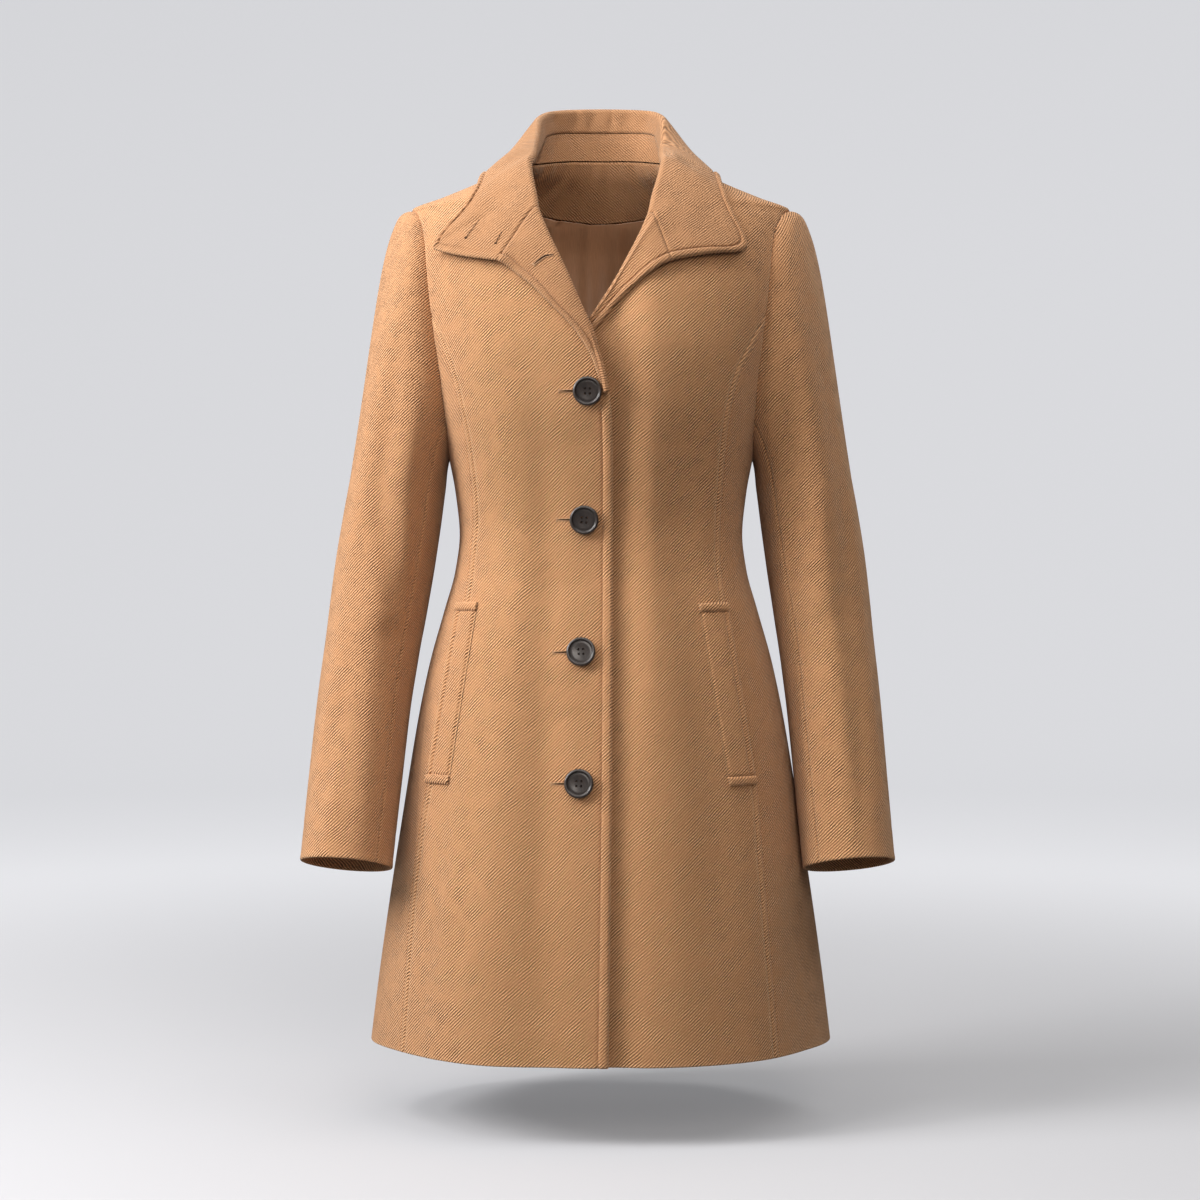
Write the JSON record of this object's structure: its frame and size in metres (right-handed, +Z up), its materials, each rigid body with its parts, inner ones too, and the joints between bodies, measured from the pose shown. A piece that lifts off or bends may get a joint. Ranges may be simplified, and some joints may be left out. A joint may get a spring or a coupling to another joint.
{
  "type": "overcoat",
  "caption": "Long single-breasted camel wool overcoat with a wide turned collar, fitted waist and flared skirt, hollow and filled out as worn.",
  "frame": {"origin": "midway between the shoulders at shoulder height, where the wearer's shoulders carry the coat", "axes": "+Z up, the front faces -Y, the wearer's left is at +X"},
  "size_m": [0.5974, 0.332, 0.9723],
  "materials": {
    "camel wool twill": "brushed diagonal twill",
    "satin lining": "satin",
    "button horn": "polished, horn-like"
  },
  "bodies": {
    "root": {"front_right": "camel wool twill", "side_front_right": "camel wool twill", "back_right": "camel wool twill", "top_sleeve_right": "camel wool twill", "under_sleeve_right": "camel wool twill", "front_facing_right": "camel wool twill", "pocket_welt_right": "camel wool twill", "cuff_lining_right": "satin lining", "front_left": "camel wool twill", "side_front_left": "camel wool twill", "back_left": "camel wool twill", "top_sleeve_left": "camel wool twill", "under_sleeve_left": "camel wool twill", "front_facing_left": "camel wool twill", "pocket_welt_left": "camel wool twill", "cuff_lining_left": "satin lining", "back_neck_facing": "camel wool twill", "back_lining": "satin lining", "collar": "camel wool twill", "collar_stand": "camel wool twill", "button_1": "button horn", "button_2": "button horn", "button_3": "button horn", "button_4": "button horn"}
  },
  "joints": []
}
